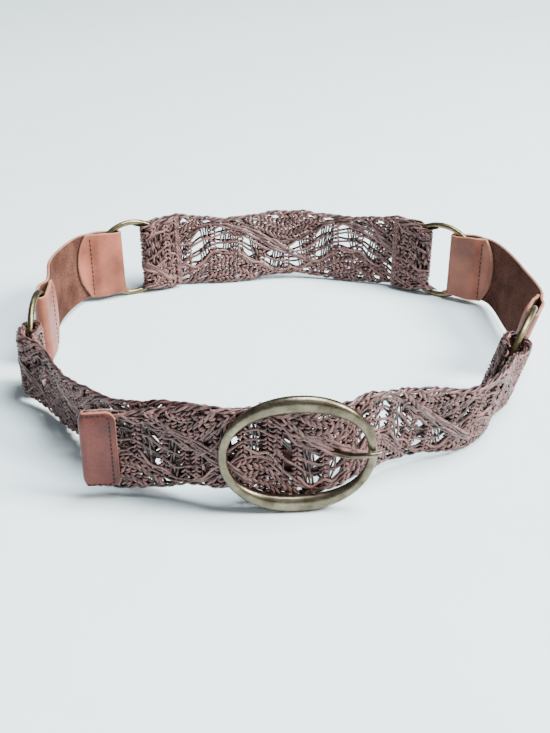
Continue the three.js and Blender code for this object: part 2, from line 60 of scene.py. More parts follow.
# x and y as shares of the loop, heading and lean in degrees.
ringTable = {
    "back_right_ring": (0.388, 0.403, 151, 2),
    "back_left_ring": (-0.337, 0.422, 205, 5),
    "left_ring": (-0.483, -0.033, 269, 1),
    "right_ring": (0.487, -0.091, 67, 16),
}
bucklePlace = (0.038, -0.59, 4, 3)

# x and y as shares of the loop, lean in degrees, width and lift as shares of the braid's width.
backStations = [(0.207, 0.493, 3, 0.98, 0.05), (0.061, 0.522, 3, 0.96, 0.06), (-0.11, 0.493, 4, 0.98, 0.05)]
leftLinkStations = [(-0.487, 0.215, 4, 1, 0.05)]
rightLinkStations = [(0.524, 0.167, 8, 1, 0.05)]
leftBraidStations = [
    (-0.437, -0.226, 2, 0.82, 0.06), (-0.403, -0.289, 7, 0.82, 0.06), (-0.367, -0.352, 12, 0.84, 0.06),
    (-0.32, -0.41, 11, 0.88, 0.07), (-0.262, -0.476, 6, 0.92, 0.11),
]
tailStations = [
    (-0.329, -0.545, 4.5, 0.93, 0.15), (-0.26, -0.542, 4, 0.95, 0.15), (-0.19, -0.552, 4, 0.97, 0.16),
]
rightBraidStations = [
    (0.208, -0.468, 11, 0.97, 0.18), (0.268, -0.432, 14, 0.95, 0.1), (0.337, -0.402, 15, 0.91, 0.07),
    (0.405, -0.33, 14, 0.93, 0.07),
]


def frameAt(heading, lean):
    along = np.stack([np.cos(heading), np.sin(heading), np.zeros(np.shape(heading))], -1)
    outward = np.stack([np.sin(heading), -np.cos(heading), np.zeros(np.shape(heading))], -1)
    rise = np.array([0, 0, 1])
    sine, cosine = np.expand_dims(np.sin(lean), -1), np.expand_dims(np.cos(lean), -1)
    return along, outward * sine + rise * cosine, outward * cosine - rise * sine


def hoop(row, halfHeight, wire):
    x, y, heading, lean = row
    lean = math.radians(lean)
    height = (halfHeight - wire / 2) * math.cos(lean) + wire / 2
    along, up, face = frameAt(math.radians(heading), lean)
    point = np.array([x * loop["width"], y * loop["depth"], height])
    return {"point": point, "along": along, "up": up, "face": face, "lean": lean}


def placeIn(place, along, up, out):
    return place["point"] + place["along"] * along + place["up"] * up + place["face"] * out


rings = {name: hoop(row, ring["diameter"] / 2, ring["wire"]) for name, row in ringTable.items()}
buckleFrame = hoop(bucklePlace, buckle["height"] / 2, buckle["topDepth"])
rimCentreRadius = ring["diameter"] / 2 - ring["wire"] / 2
ringInnerRadius = ring["diameter"] / 2 - ring["wire"]
throat = 2 * ringInnerRadius

# A fold runs from its tip on the inner face, round the ring's wire and back along the outer face.
foldReaches = (0, 12, 24, 36)
backFold = {
    "thickness": braid["thickness"], "width": 0.95 * throat, "seamWidth": 51, "drop": 0, "seamDrop": 0.5,
    "slack": 0, "gap": ring["foldGap"], "seamReach": 32.5, "tipReach": 35.5, "moon": 0, "settle": 7,
}
leftFold = dict(
    backFold, width=0.81 * throat, seamWidth=41, drop=0.074 * throat, seamDrop=4, slack=1,
    gap=ring["sideFoldGap"], settle=20)
rightFold = dict(leftFold, drop=0.063 * throat, slack=3.5, settle=34)
linkFold = dict(
    backFold, thickness=link["thickness"], width=0.922 * throat, seamWidth=link["width"], drop=0.92,
    seamDrop=0.92, seamReach=31.5, tipReach=33, moon=link["moonReach"],
)


def ringStations(name, side, fold):
    rows = []
    for index, reach in enumerate(foldReaches):
        drop = fold["drop"] if index < 2 else fold["seamDrop"]
        width = fold["width"] if index < 2 else fold["seamWidth"]
        rows.append((placeIn(rings[name], side * reach, -drop, 0), rings[name]["lean"], width))
    return rows


def strapStations(rows, width=None):
    made = []
    for x, y, lean, share, lift in rows:
        lean = math.radians(lean)
        across = share * braid["width"]
        height = across / 2 * math.cos(lean) + lift * braid["width"]
        made.append((np.array([x * loop["width"], y * loop["depth"], height]), lean, width or across))
    return made


def buckleStation(along, up, out, width):
    return (placeIn(buckleFrame, along, up, out), buckleFrame["lean"], width)


def curvePoints(points, perSpan):
    # Centripetal Catmull-Rom curve.
    points = [2 * points[0] - points[1]] + list(points) + [2 * points[-1] - points[-2]]
    made = []
    for i in range(1, len(points) - 2):
        p0, p1, p2, p3 = points[i - 1:i + 3]
        d0, d1, d2 = [max(np.linalg.norm(b - a) ** 0.5, 1e-4) for a, b in ((p0, p1), (p1, p2), (p2, p3))]
        t1 = ((p1 - p0) / d0 - (p2 - p0) / (d0 + d1) + (p2 - p1) / d1) * d1
        t2 = ((p2 - p1) / d1 - (p3 - p1) / (d1 + d2) + (p3 - p2) / d2) * d1
        last = i == len(points) - 3
        for k in range(perSpan + (1 if last else 0)):
            t = k / perSpan
            a = 2 * p1 - 2 * p2 + t1 + t2
            b = -3 * p1 + 3 * p2 - 2 * t1 - t2
            made.append(a * t ** 3 + b * t ** 2 + t1 * t + p1)
    return np.array(made)


def strapRun(stations):
    perSpan = 24
    points = curvePoints([s[0] for s in stations], perSpan)
    steps = len(points) - 1
    share = np.arange(steps + 1) / perSpan
    index = np.minimum(share.astype(int), len(stations) - 2)
    t = share - index
    t = t * t * (3 - 2 * t)
    lean = np.array([s[1] for s in stations])
    width = np.array([s[2] for s in stations])
    distance = np.concatenate([[0], np.cumsum(np.linalg.norm(np.diff(points, axis=0), axis=1))])
    slope = np.gradient(points, distance, axis=0)
    heading = np.unwrap(np.arctan2(slope[:, 1], slope[:, 0]))
    return {
        "distance": distance, "points": points, "heading": heading, "length": distance[-1],
        "lean": lean[index] * (1 - t) + lean[index + 1] * t,
        "width": width[index] * (1 - t) + width[index + 1] * t,
    }


def wireReach(fold, height):
    beside = np.sqrt(np.maximum((ringInnerRadius - wireClearance) ** 2 - height ** 2, 0))
    return np.minimum(beside, fold["gap"] / 2 + fold["thickness"])


def foldPath(fold):
    # Rows of distance, out and how far the fold follows the wire.
    pocket = ring["wire"] / 2 + wireClearance + fold["slack"]
    middle = pocket + fold["thickness"] / 2
    centre = wireReach(fold, np.array(-fold["drop"])) + pocket
    leaf = fold["thickness"] + seatGap
    rows = [
        (fold["tipReach"] + fold["moon"], -leaf, 0), (fold["seamReach"], -leaf, 0),
        (rimCentreRadius + 2, -(leaf + middle) / 2, 0), (rimCentreRadius, -middle, 0),
    ]
    for angle in range(-90, 91, 15):
        turn = math.radians(angle)
        rows.append((centre - middle * math.cos(turn), middle * math.sin(turn), 1))
    for share in (0, 0.25, 0.5, 0.75, 1):
        out = middle * (0.5 + 0.5 * math.cos(math.pi * share))
        rows.append((rimCentreRadius + fold["settle"] * share, out, 0))
    return rows


# A sheet in its own flat coordinates: u along the leather, y across it and h out of its face.
def sheetMap(run, rows, fold=None, endFold=None, width=None, wave=None, smooth=5):
    rows = np.array(rows, float)
    flat = np.concatenate([[0], np.cumsum(np.hypot(np.diff(rows[:, 0]), np.diff(rows[:, 1])))])
    u = np.linspace(0, flat[-1], max(int(flat[-1] / 0.5), 8))
    distance, out, pull, side = [np.interp(u, flat, rows[:, k]) for k in range(4)]
    kernel = np.ones(smooth) / smooth
    half = smooth // 2
    for values in (distance, out):
        padded = np.concatenate([
            2 * values[0] - values[half:0:-1], values, 2 * values[-1] - values[-2:-half - 2:-1]])
        values[:] = np.convolve(padded, kernel, "valid")
    alongSlope = np.gradient(distance, u)
    outSlope = np.gradient(out, u)
    size = np.hypot(alongSlope, outSlope)
    normal = np.stack([-outSlope / size, alongSlope / size], 1)
    pick = lambda values: np.interp(distance, run["distance"], values)
    point = np.stack([pick(run["points"][:, k]) for k in range(3)], 1)
    heading, lean = pick(run["heading"]), pick(run["lean"])
    across = pick(run["width"]) if width is None else np.full(len(u), float(width))
    beyond = distance - np.clip(distance, 0, run["length"])
    along, up, face = frameAt(heading, lean)
    lift = np.zeros(len(u))
    if wave:
        calm = run["length"] / 2 - np.abs(distance - run["length"] / 2) - braid["calmEnd"]
        fade = np.clip(calm / braid["calmFade"], 0, 1)
        if not fold:
            fade = np.where(distance < run["length"] / 2, 1, fade)
        if not endFold:
            fade = np.where(distance > run["length"] / 2, 1, fade)
        lift = braid["waveHeight"] * fade * np.cos(2 * math.pi * (distance - wave[0]) / wave[1])
    return {
        "u": u, "distance": distance, "base": point + along * beyond[:, None] + face * out[:, None],
        "along": along, "up": up, "normal": along * normal[:, :1] + face * normal[:, 1:],
        "width": across, "lift": lift, "pull": pull * side, "length": u[-1],
        "fold": fold, "endFold": endFold,
    }


def onSheet(sheet, u, y, h, nominal):
    u, y, h = [np.asarray(v, float) for v in (u, y, h)]
    pick = lambda values: np.interp(u, sheet["u"], values)
    vector = lambda rows: np.stack([pick(rows[:, k]) for k in range(3)], -1)
    share = y / nominal
    rise = share * pick(sheet["width"]) + pick(sheet["lift"]) * np.abs(2 * share)
    shift = np.zeros(u.shape)
    middle = sheet["length"] / 2
    for fold, part in ((sheet["fold"], u < middle), (sheet["endFold"], u >= middle)):
        if fold:
            reach = wireReach(fold, share * fold["width"] - fold["drop"])
            reach = reach - wireReach(fold, np.array(-fold["drop"]))
            shift = np.where(part, reach, shift)
    shift = shift * pick(sheet["pull"])
    spot = vector(sheet["base"]) + vector(sheet["up"]) * rise[..., None]
    return spot + vector(sheet["normal"]) * h[..., None] + vector(sheet["along"]) * shift[..., None]


def uOfDistance(sheet, distance):
    # On the outer leaf or between the folds.
    start = np.argmin(sheet["distance"][: len(sheet["u"]) // 2]) if sheet["fold"] else 0
    stop = len(sheet["u"]) // 2 + np.argmax(sheet["distance"][len(sheet["u"]) // 2:])
    return float(np.interp(distance, sheet["distance"][start:stop + 1], sheet["u"][start:stop + 1]))


def linear(color):
    # A hex text in sRGB, or a grey that is linear already.
    if not isinstance(color, str):
        return [color, color, color, 1]
    values = [int(color[i:i + 2], 16) / 255 for i in (1, 3, 5)]
    return [v / 12.92 if v <= 0.04045 else ((v + 0.055) / 1.055) ** 2.4 for v in values] + [1]


def addNode(tree, kind, inputs=None, stops=(), **settings):
    node = tree.nodes.new(kind)
    for key, value in settings.items():
        setattr(node, key, value)
    for key, value in (inputs or {}).items():
        if isinstance(value, bpy.types.NodeSocket):
            tree.links.new(value, node.inputs[key])
        else:
            node.inputs[key].default_value = value
    for index, (position, color) in enumerate(stops):
        elements = node.color_ramp.elements
        element = elements[index] if index < 2 else elements.new(position)
        element.position = position
        element.color = linear(color)
    return node


def newMaterial(name):
    material = bpy.data.materials.new(name)
    material.use_nodes = True
    tree = material.node_tree
    tree.nodes.clear()
    return material, tree, addNode(tree, "ShaderNodeTexCoord").outputs["Object"]


def finishMaterial(tree, inputs):
    shader = addNode(tree, "ShaderNodeBsdfPrincipled", inputs)
    addNode(tree, "ShaderNodeOutputMaterial", {"Surface": shader.outputs["BSDF"]})


# Pattern sizes are in millimetres. Real grain is finer, and is drawn coarse enough to show.
cloudSize, speckSize = 22, 1.1


def cordMaterial(name, look):
    material, tree, coords = newMaterial(name)
    tint = addNode(tree, "ShaderNodeAttribute", attribute_name="tint")
    depth = addNode(tree, "ShaderNodeAttribute", attribute_name="depth")
    strand = addNode(
        tree, "ShaderNodeValToRGB", {"Fac": tint.outputs["Fac"]},
        [(0, look["dark"]), (1, look["light"]), (0.5, look["middle"])])
    worn = addNode(tree, "ShaderNodeTexNoise", {
        "Vector": coords, "Scale": 1000 / look["wornPatch"], "Detail": 5, "Roughness": 0.55})
    wornShare = addNode(tree, "ShaderNodeValToRGB", {"Fac": worn.outputs["Fac"]}, [(0.42, 0), (0.72, 0.55)])
    ridge = addNode(tree, "ShaderNodeMix", {
        0: wornShare.outputs["Color"], 6: strand.outputs["Color"], 7: linear(look["worn"])}, data_type="RGBA")
    # Painted shade: cords that lie near the braid's middle, by their depth, are mixed towards the near-black
    # gap colour, as shade in the gaps between the strands.
    paintedGapShade = addNode(tree, "ShaderNodeValToRGB", {"Fac": depth.outputs["Fac"]}, [(0.08, 0.85), (0.6, 0)])
    color = addNode(tree, "ShaderNodeMix", {
        0: paintedGapShade.outputs["Color"], 6: ridge.outputs[2], 7: linear(look["gap"])}, data_type="RGBA")
    grain = addNode(tree, "ShaderNodeTexNoise", {
        "Vector": coords, "Scale": 1000 / look["grain"], "Detail": 3, "Roughness": 0.55})
    normal = addNode(tree, "ShaderNodeBump", {
        "Height": grain.outputs["Fac"], "Strength": 0.7, "Distance": look["relief"] / 1000})
    finishMaterial(tree, {
        "Base Color": color.outputs[2], "Roughness": look["roughness"], "Specular IOR Level": look["shine"],
        "Normal": normal.outputs["Normal"]})
    return material


def leatherMaterial(name, look):
    material, tree, coords = newMaterial(name)
    cloud = addNode(tree, "ShaderNodeTexNoise", {
        "Vector": coords, "Scale": 1000 / cloudSize, "Detail": 4, "Roughness": 0.55})
    ground = addNode(
        tree, "ShaderNodeValToRGB", {"Fac": cloud.outputs["Fac"]},
        [(0.35, look["dark"]), (0.65, look["light"])])
    speck = addNode(tree, "ShaderNodeTexNoise", {
        "Vector": coords, "Scale": 1000 / speckSize, "Detail": 3, "Roughness": 0.55})
    speckShare = addNode(
        tree, "ShaderNodeValToRGB", {"Fac": speck.outputs["Fac"]}, [(0.45, 0), (0.75, look["speck"])])
    color = addNode(tree, "ShaderNodeMix", {
        0: speckShare.outputs["Color"], 6: ground.outputs["Color"], 7: linear(look["mark"]),
    }, data_type="RGBA")
    grain = addNode(tree, "ShaderNodeTexNoise", {
        "Vector": coords, "Scale": 1000 / look["grain"], "Detail": 4, "Roughness": 0.65})
    normal = addNode(tree, "ShaderNodeBump", {
        "Height": grain.outputs["Fac"], "Strength": 0.8, "Distance": look["relief"] / 1000})
    finishMaterial(tree, {
        "Base Color": color.outputs[2], "Roughness": look["roughness"], "Specular IOR Level": look["shine"],
        "Normal": normal.outputs["Normal"]})
    return material


def brassMaterial(name, look):
    material, tree, coords = newMaterial(name)
    cloud = addNode(tree, "ShaderNodeTexNoise", {
        "Vector": coords, "Scale": 1000 / look["cloud"], "Detail": 5, "Roughness": 0.55})
    ground = addNode(
        tree, "ShaderNodeValToRGB", {"Fac": cloud.outputs["Fac"]},
        [(0.36, look["dark"]), (0.66, look["light"])])
    patina = addNode(tree, "ShaderNodeTexNoise", {
        "Vector": coords, "Scale": 1000 / look["spot"], "Detail": 6, "Roughness": 0.7})
    patinaShare = addNode(
        tree, "ShaderNodeValToRGB", {"Fac": patina.outputs["Fac"]}, [(0.5, 0), (0.78, look["patina"])])
    color = addNode(tree, "ShaderNodeMix", {
        0: patinaShare.outputs["Color"], 6: ground.outputs["Color"], 7: linear(look["tarnish"]),
    }, data_type="RGBA")
    drawn = addNode(tree, "ShaderNodeMapping", {"Vector": coords, "Scale": (0.15, 1, 3)})
    scratches = addNode(tree, "ShaderNodeTexNoise", {
        "Vector": drawn.outputs["Vector"], "Scale": 1000 / look["scratch"], "Detail": 4, "Roughness": 0.6})
    rough = addNode(
        tree, "ShaderNodeValToRGB", {"Fac": scratches.outputs["Fac"]},
        [(0.3, look["smooth"]), (0.75, look["rough"])])
    normal = addNode(tree, "ShaderNodeBump", {
        "Height": scratches.outputs["Fac"], "Strength": 0.35, "Distance": look["relief"] / 1000})
    finishMaterial(tree, {
        "Base Color": color.outputs[2], "Metallic": 1, "Roughness": rough.outputs["Color"],
        "Normal": normal.outputs["Normal"]})
    return material


def floorMaterial(name, color, roughness):
    material, tree, coords = newMaterial(name)
    cloud = addNode(tree, "ShaderNodeTexNoise", {
        "Vector": coords, "Scale": 1000 / 60, "Detail": 3, "Roughness": 0.55})
    darker = [v * 0.93 for v in linear(color)[:3]] + [1]
    shade = addNode(
        tree, "ShaderNodeMix", {0: cloud.outputs["Fac"], 6: linear(color), 7: darker}, data_type="RGBA")
    finishMaterial(tree, {"Base Color": shade.outputs[2], "Roughness": roughness})
    return material


# Narrow laces of dyed leather: rubbed paler and a little shiny on the ridges, with painted shade that turns
# them almost black in the gaps.
cordLeather = cordMaterial("Mauve brown leather cord", {
    "dark": "#382422", "middle": "#583a37", "light": "#7f5953", "worn": "#936c65", "gap": "#100807",
    "wornPatch": 3.5, "grain": 0.5, "relief": 0.12, "roughness": 0.4, "shine": 0.45,
})
# Full grain leather, dyed and waxed: smooth, warm, with soft clouds of colour.
grainLeather = leatherMaterial("Rose tan grain leather", {
    "dark": "#703b2a", "light": "#9b5843", "mark": "#5c3023", "speck": 0.3, "roughness": 0.46, "shine": 0.35,
    "grain": 0.9, "relief": 0.06,
})
# The flesh side of the same hide: rough, dull and mottled.
suedeLeather = leatherMaterial("Tan suede", {
    "dark": "#452b23", "light": "#644238", "mark": "#231512", "speck": 0.85, "roughness": 0.95, "shine": 0.05,
    "grain": 0.8, "relief": 0.3,
})
# Cut edges without paint: paler and fibrous.
rawEdge = leatherMaterial("Raw leather edge", {
    "dark": "#835946", "light": "#a47a66", "mark": "#5c4034", "speck": 0.5, "roughness": 0.9, "shine": 0.15,
    "grain": 0.5, "relief": 0.15,
})
# Thin dyed leather, redder and darker than the links.
capLeather = leatherMaterial("Rose brown leather", {
    "dark": "#4a1f1a", "light": "#72352c", "mark": "#2c1310", "speck": 0.45, "roughness": 0.5, "shine": 0.3,
    "grain": 0.8, "relief": 0.08,
})
# Waxed polyester thread: nearly black against the leather.
threadDark = leatherMaterial("Dark brown thread", {
    "dark": "#1c1110", "light": "#2e1d1a", "mark": "#100a09", "speck": 0.4, "roughness": 0.7, "shine": 0.3,
    "grain": 0.4, "relief": 0.08,
})
# Cast brass, darkened and rubbed back: mottled, with a soft gleam along the wire.
antiqueBrass = brassMaterial("Antique brass", {
    "dark": "#584d36", "light": "#8f8262", "tarnish": "#3c3426", "patina": 0.7, "smooth": 0.26, "rough": 0.46,
    "cloud": 14, "spot": 2.2, "scratch": 1.6, "relief": 0.06,
})
# The same brass, brushed after it was darkened: greyer, with fine drawn scratches.
buckleBrass = brassMaterial("Brushed antique brass", {
    "dark": "#4e4637", "light": "#897d69", "tarnish": "#3b3428", "patina": 0.7, "smooth": 0.25, "rough": 0.42,
    "cloud": 14, "spot": 2.2, "scratch": 1.6, "relief": 0.06,
})
print("materials made")


def makeObject(name, points, faces, kinds, materials, attributes=None):
    mesh = bpy.data.meshes.new(name)
    points = (np.asarray(points) + frameShift) / 1000
    mesh.from_pydata(points.tolist(), [], faces)
    for material in materials:
        mesh.materials.append(material)
    if kinds is not None:
        mesh.polygons.foreach_set("material_index", np.asarray(kinds, np.int32))
    mesh.polygons.foreach_set("use_smooth", np.full(len(mesh.polygons), True))
    for key, values in (attributes or {}).items():
        layer = mesh.attributes.new(key, "FLOAT", "POINT")
        layer.data.foreach_set("value", np.asarray(values, np.float32))
    mesh.update()
    made = bpy.data.objects.new(name, mesh)
    bpy.context.scene.collection.objects.link(made)
    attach(made, "root")
    return made


def loft(loops, closed):
    loops = np.asarray(loops)
    rows, sides = loops.shape[:2]
    faces = []
    for i in range(rows if closed else rows - 1):
        for j in range(sides):
            a, b = i * sides, (i + 1) % rows * sides
            k = (j + 1) % sides
            faces.append((a + j, b + j, b + k, a + k))
    if not closed:
        faces.append(tuple(range(sides)))
        faces.append(tuple(reversed(range((rows - 1) * sides, rows * sides))))
    return loops.reshape(-1, 3), faces


class StrandBundle:
    def __init__(self):
        self.flat, self.faces, self.tint, self.depth, self.count = [], [], [], [], 0

    def strand(self, u, y, h, cord, tint, sides=5, depth=None):
        u, y, h = np.broadcast_arrays(*[np.asarray(v, float) for v in (u, y, h)])
        n = len(u)
        du, dy = np.gradient(u), np.gradient(y)
        size = np.maximum(np.hypot(du, dy), 1e-6)
        du, dy = du / size, dy / size
        turn = (np.arange(sides) + 0.5) / sides * 2 * math.pi
        across = cord[0] * np.cos(turn)[None, :]
        out = cord[1] * np.sin(turn)[None, :]
        rows = np.stack([
            u[:, None] - dy[:, None] * across, y[:, None] + du[:, None] * across, h[:, None] + out], -1)
        self.flat.append(rows.reshape(-1, 3))
        row = self.count + np.arange(n - 1)[:, None] * sides
        a, b = row + np.arange(sides)[None, :], row + (np.arange(sides)[None, :] + 1) % sides
        self.faces.append(np.stack([a, a + sides, b + sides, b], -1).reshape(-1, 4))
        self.tint.append(np.full(n * sides, tint))
        # The depth is how far a cord lies from the braid's middle; the cord material paints shade onto the
        # cords that lie near the middle, in the gaps.
        outer = np.abs(rows[..., 2]) if depth is None else np.full((n, sides), depth)
        self.depth.append(np.clip(outer / 2.3, 0, 1).reshape(-1))
        self.count += n * sides

    def placed(self, sheet, nominal):
        flat, faces = np.concatenate(self.flat), np.concatenate(self.faces)
        return onSheet(sheet, flat[:, 0], flat[:, 1], flat[:, 2], nominal), faces.tolist()


# Millimetres on the flat braid. Each cord gives half its width and half its thickness.
weave = {
    "width": 48.0, "edgeShare": 0.92, "lensShare": 0.38, "endInset": 1.0, "rim": 1.5,
    "chevronPitch": 2.95, "chevronRow": 4.1, "chevronRows": 7, "chevronArm": 3.5, "chevronCord": (0.78, 0.72),
    "boundPitch": 1.9, "boundCord": (0.8, 0.68),
    "bars": 4, "laddersPerWave": 5, "barCord": (0.9, 0.72), "columnPitch": 2.8, "columnCord": (0.7, 0.62),
    "rungPitch": 1.75, "rungTilt": 1.7, "rungCord": (0.68, 0.6), "rungFill": (0.9, 0.45, 0.8, 0.6),
    "sweeps": 4, "sweepPitch": 2.6, "sweepShare": 0.8, "sweepCord": (0.9, 0.72),
    "coverPitch": 2.3, "coverCord": (0.9, 0.7), "seamCord": (0.85, 0.75),
    "edgeTwist": 17, "edgeCord": (0.82, 0.74),
}
rng = np.random.default_rng(7)


def wander(u, size, longest=31):
    # A slow, uneven drift, so that no two strands lie alike.
    value = np.zeros(np.shape(u))
    for k in range(4):
        wavelength = longest / (1 + 0.73 * k)
        value = value + np.sin(2 * math.pi * np.asarray(u) / wavelength + rng.uniform(0, 6.3)) / (1 + k)
    return size * value / 1.6


# The lenses bite into the top edge at each crest and into the low edge half a wave on.
def braidPlan(sheet, crest, wave):
    half = weave["width"] / 2
    start, stop = weave["endInset"], sheet["length"] - weave["endInset"]
    phase = lambda u: 2 * math.pi * (np.asarray(u) - crest) / wave
    deep = weave["lensShare"] * weave["width"]
    lens = lambda angle: deep * np.clip(0.5 + 0.5 * np.cos(angle), 0, 1) ** 1.25
    return {
        "sheet": sheet, "crest": crest, "wave": wave, "half": half, "start": start, "stop": stop,
        "u": np.linspace(start, stop, int(sheet["length"] / 2.2)),
        "top": lambda u: half * weave["edgeShare"] - lens(phase(u)),
        "low": lambda u: lens(phase(u) + math.pi) - half * weave["edgeShare"],
    }


# Dense rows of small chevrons in the lenses, on both faces. They follow the lens's curve.
def addChevrons(bundle, plan):
    rowHeight = weave["chevronRow"]
    arm = np.linspace(0, 1, 5)
    limit = plan["half"] - 2.2 - rowHeight * 0.1
    inside = plan["half"] - weave["rim"]
    for side in (1, -1):
        for edge, bound in ((1, plan["top"]), (-1, plan["low"])):
            for row in range(weave["chevronRows"]):
                point = 1 if (row + (edge > 0)) % 2 else -1
                drift = wander(plan["u"], 0.35)
                centre = lambda at: bound(at) + edge * (0.6 + rowHeight * (row + 0.5))
                for start in np.arange(plan["start"] + 3, plan["stop"] - 3, weave["chevronPitch"]):
                    where = start + rng.normal(0, 0.2)
                    if edge * float(centre(where)) > limit:
                        continue
                    lean = rng.normal(0, 0.05)
                    for armSide in (1, -1):
                        along = where + point * weave["chevronArm"] * arm
                        y = centre(along) + armSide * rowHeight * (0.55 + lean) * (1 - arm)
                        y = np.clip(y + np.interp(where, plan["u"], drift), -inside, inside)
                        h = side * (0.35 + 1.25 * np.sin(math.pi * arm ** 0.8) + rng.normal(0, 0.1))
                        bundle.strand(along, y, h, weave["chevronCord"], rng.random())


# Long strands that bound the lenses.
def addBounds(bundle, plan):
    u = plan["u"]
    for side in (1, -1):
        for bound, toMiddle in ((plan["top"], -1), (plan["low"], 1)):
            for k in range(2):
                y = bound(u) + toMiddle * (0.3 + weave["boundPitch"] * k) + wander(u, 1.1)
                turn = 2 * math.pi * u / (13 + 3 * k) + 2.1 * k + rng.uniform(0, 6)
                h = side * (0.85 + 0.55 * np.sin(turn))
                bundle.strand(u, y, h, weave["boundCord"], rng.random())


# Ladders between the lenses: pairs of bars that gather at chevron columns, and leaning rungs.
def addLadders(bundle, plan):
    u, top, low, crest = plan["u"], plan["top"], plan["low"], plan["crest"]
    pitch = plan["wave"] / weave["laddersPerWave"]
    turnAt = lambda at: 2 * math.pi * (np.asarray(at) - crest) / pitch

    def barAt(at, k):
        share = (k / (weave["bars"] - 1) - 0.5) * (0.86 - 0.16 * np.cos(turnAt(at)))
        return (low(at) + top(at)) / 2 + (top(at) - low(at) - 2 * weave["rim"]) * share

    for k in range(weave["bars"]):
        for side in (1, -1):
            y = barAt(u, k) + 0.95 * side + wander(u, 0.7)
            h = 0.85 * side + 0.7 * np.cos(turnAt(u) / 2 + math.pi * (k + 0.25 * side))
            bundle.strand(u, y, h, weave["barCord"], rng.random())
    first = crest - math.ceil(crest / pitch) * pitch
    for index, start in enumerate(np.arange(first, plan["sheet"]["length"], pitch)):
        for column in (-1.2, 3.6) if index % 3 == 1 else (0.5,):
            addColumn(bundle, plan, start + column + rng.normal(0, 0.3))
        tilt = weave["rungTilt"] if index % 2 else -weave["rungTilt"]
        cross = np.linspace(0, 1, 6)
        for k in range(weave["bars"] - 1):
            count = round(weave["rungFill"][(index + 2 * k) % 4] * (pitch - 6.5) / weave["rungPitch"])
            for n in range(count):
                where = start + 3.6 + weave["rungPitch"] * n + rng.normal(0, 0.15)
                if not plan["start"] + 3 < where < plan["stop"] - 4:
                    continue
                along = where + tilt * (cross - 0.5)
                y = barAt(where, k) - 1.4 + (barAt(where, k + 1) - barAt(where, k) + 2.8) * cross
                bundle.strand(along, y, np.cos(math.pi * (cross + n)), weave["rungCord"], rng.random())


# A column of chevrons across a ladder band.
def addColumn(bundle, plan, where):
    if not plan["start"] + 3 < where < plan["stop"] - 3:
        return
    arm = np.linspace(0, 1, 3)
    bottom, top = float(plan["low"](where)) + weave["rim"], float(plan["top"](where)) - weave["rim"]
    for foot in np.arange(bottom, top, weave["columnPitch"]):
        for armSide in (1, -1):
            for side in (1, -1):
                y = foot + side * 2.3 * arm + rng.normal(0, 0.12) + 0.5 * (1 - side)
                h = side * (0.5 + 1.3 * np.sin(math.pi * arm ** 0.8))
                bundle.strand(where + armSide * 2.5 * (1 - arm), y, h, weave["columnCord"], rng.random())


# Strands that leave the upper bundle and sweep down to the lower edge.
def addSweeps(bundle, plan):
    crest, wave = plan["crest"], plan["wave"]
    t = np.linspace(0, 1, 40)
    for k in range(int(plan["sheet"]["length"] / wave) + 2):
        middle = crest + (k - math.ceil(crest / wave)) * wave + wave * 0.1
        for side, direction in ((1, 1), (-1, -1)):
            for twin in range(weave["sweeps"]):
                along = middle + (t - 0.5) * wave * weave["sweepShare"] + weave["sweepPitch"] * twin
                y = direction * (13 - 31 * t * t * (3 - 2 * t)) + wander(along, 0.7)
                inside = (along > plan["start"]) & (along < plan["stop"])
                if inside.sum() > 4:
                    h = side * (1.5 + 0.5 * np.sin(t * 22 + twin * 2) - 1.5 * np.abs(2 * t - 1) ** 6)
                    bundle.strand(along[inside], y[inside], h[inside], weave["sweepCord"], rng.random())


# The folded ends are denser, and a plaited seam closes each of them.
def addFoldEnds(bundle, plan):
    sheet, half = plan["sheet"], plan["half"]
    cover = np.linspace(0, 1, 18)
    fine = np.linspace(-half + 1, half - 1, 60)
    for fold, at, direction in ((sheet["fold"], 0, 1), (sheet["endFold"], sheet["length"], -1)):
        if not fold:
            continue
        for where in np.arange(3.2, fold["tipReach"] + 14, weave["coverPitch"]):
            drift = wander(cover * weave["width"], 0.8)
            y = (half - 2.2) * (1 - 2 * cover)
            h = 1.25 * np.cos(math.pi * (cover * 9 + round(where / weave["coverPitch"])))
            bundle.strand(at + direction * (where + drift), y, h, weave["coverCord"], rng.random())
        for seamAt, rise in ((1.8, 0.7), (3.6, 1.1)):
            for k in range(3):
                angle = 2 * math.pi * (fine / 8 + k / 3)
                along = at + direction * (seamAt + 0.9 * np.sin(angle))
                bundle.strand(along, fine, rise + 0.8 * np.cos(angle), weave["seamCord"], rng.random())


# Three twisted cords along each edge.
def addEdges(bundle, plan):
    fine = np.linspace(plan["start"], plan["stop"], int(plan["sheet"]["length"] / 1.6))
    for edge in (1, -1):
        sway = wander(fine, 0.55, 23)
        for k in range(3):
            angle = 2 * math.pi * (fine / weave["edgeTwist"] + k / 3) + wander(fine, 0.6, 41)
            y = edge * (plan["half"] - 1.4) + sway + (1.1 + wander(fine, 0.35, 17)) * np.sin(angle)
            bundle.strand(fine, y, 1.15 * np.cos(angle), weave["edgeCord"], rng.random())


def braidMesh(name, sheet, crest, wave):
    bundle = StrandBundle()
    plan = braidPlan(sheet, crest, wave)
    for addStrands in (addChevrons, addBounds, addLadders, addSweeps, addFoldEnds, addEdges):
        addStrands(bundle, plan)
    points, faces = bundle.placed(sheet, weave["width"])
    made = makeObject(name, points, faces, None, [cordLeather], {
        "tint": np.concatenate(bundle.tint), "depth": np.concatenate(bundle.depth)})
    print(name, len(faces) * 2, "triangles")
    return made


def pinched(share, pinch):
    # How far the sewn edges are drawn together.
    return pinch * np.clip((np.abs(share) - 0.72) / 0.28, 0, 1) ** 2


